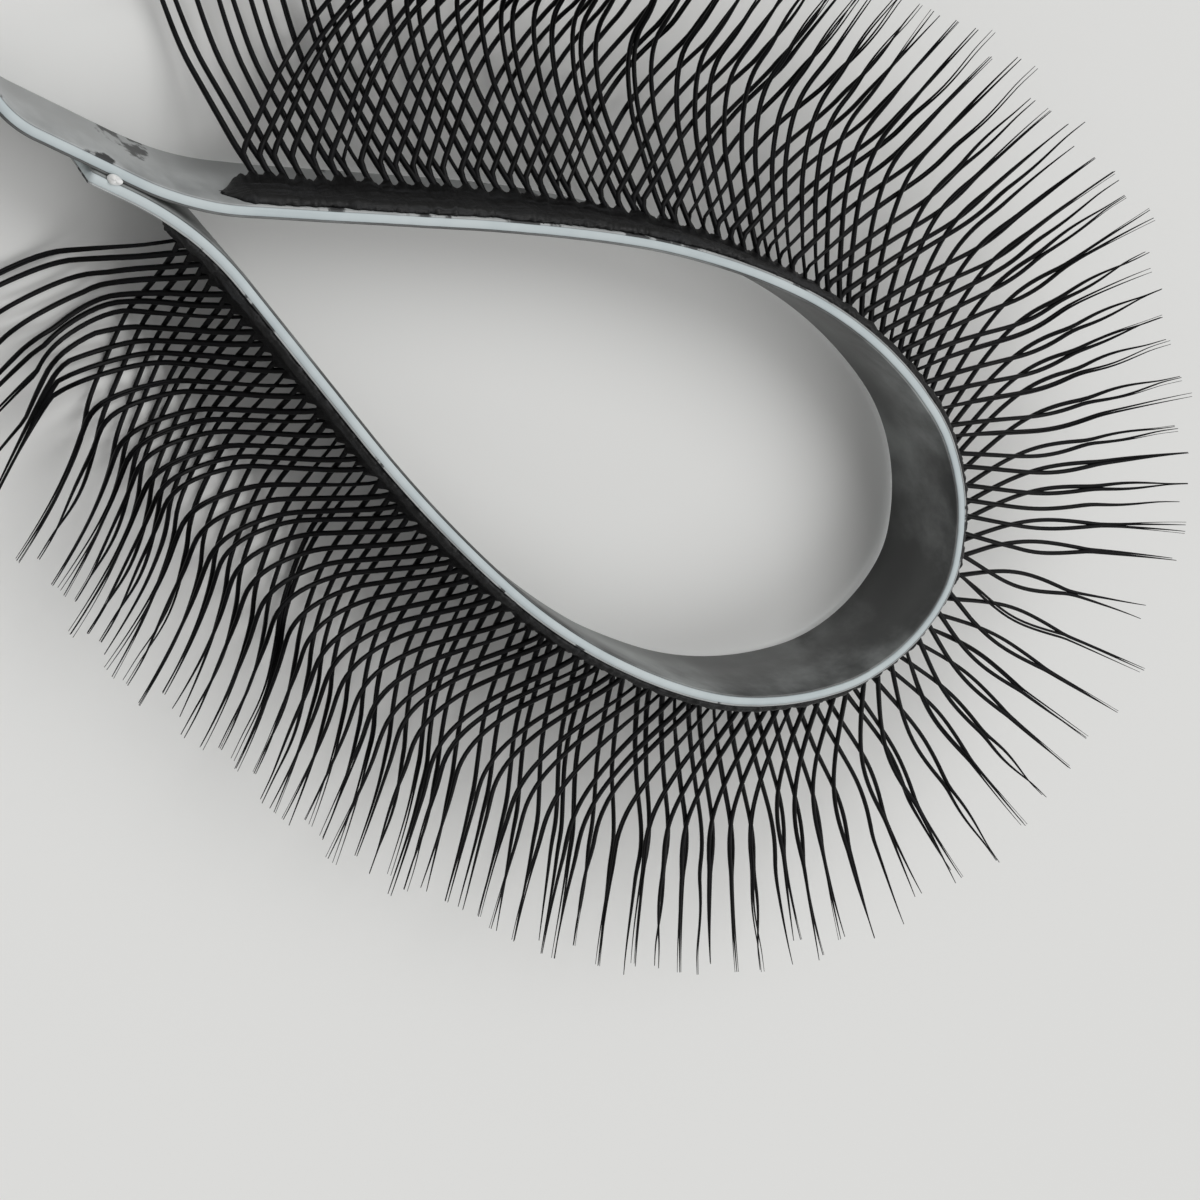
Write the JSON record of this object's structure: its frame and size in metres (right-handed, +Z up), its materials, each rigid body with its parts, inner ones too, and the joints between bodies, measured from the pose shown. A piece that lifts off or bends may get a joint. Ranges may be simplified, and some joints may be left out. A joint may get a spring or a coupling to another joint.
{
  "type": "false eyelash strip",
  "caption": "Strip of woven false eyelashes on a self-adhesive backing tape, bent into a standing teardrop loop with its two bare tails stuck together.",
  "frame": {"origin": "centre of the bounding box at the plane that the strip stands on", "axes": "+Z up, +X from the stuck tails to the round end of the loop, +Y towards the strand that carries on into the tab"},
  "size_m": [0.0492, 0.0346, 0.005],
  "materials": {
    "tape": "pale blue-grey translucent plastic tape",
    "adhesive": "mottled dark grey pressure-sensitive adhesive, slightly glossy",
    "film": "thin pale grey translucent film, smooth",
    "root_glue": "black glue with fibres bedded in it",
    "fibre": "black synthetic lash fibre, faint sheen",
    "bead": "soft whitish adhesive"
  },
  "bodies": {
    "root": {"tape_core": "tape", "inner_adhesive": "adhesive", "outer_film": "film", "root_band": "root_glue", "adhesive_bead": "bead", "lash_fans_01": "fibre", "lash_fans_02": "fibre", "lash_fans_03": "fibre", "lash_fans_04": "fibre", "lash_fans_05": "fibre", "lash_fans_06": "fibre", "lash_fans_07": "fibre", "lash_fans_08": "fibre", "lash_fans_09": "fibre", "lash_fans_10": "fibre", "lash_fans_11": "fibre", "lash_fans_12": "fibre", "lash_fans_13": "fibre", "lash_fans_14": "fibre", "lash_fans_15": "fibre", "lash_fans_16": "fibre", "lash_fans_17": "fibre", "lash_fans_18": "fibre", "lash_fans_19": "fibre", "lash_fans_20": "fibre", "lash_fans_21": "fibre", "lash_fans_22": "fibre", "lash_fans_23": "fibre", "lash_fans_24": "fibre", "lash_fans_25": "fibre", "lash_fans_26": "fibre", "lash_fans_27": "fibre", "lash_fans_28": "fibre", "lash_fans_29": "fibre", "lash_fans_30": "fibre", "lash_fans_31": "fibre", "lash_fans_32": "fibre", "lash_fans_33": "fibre"}
  },
  "joints": []
}
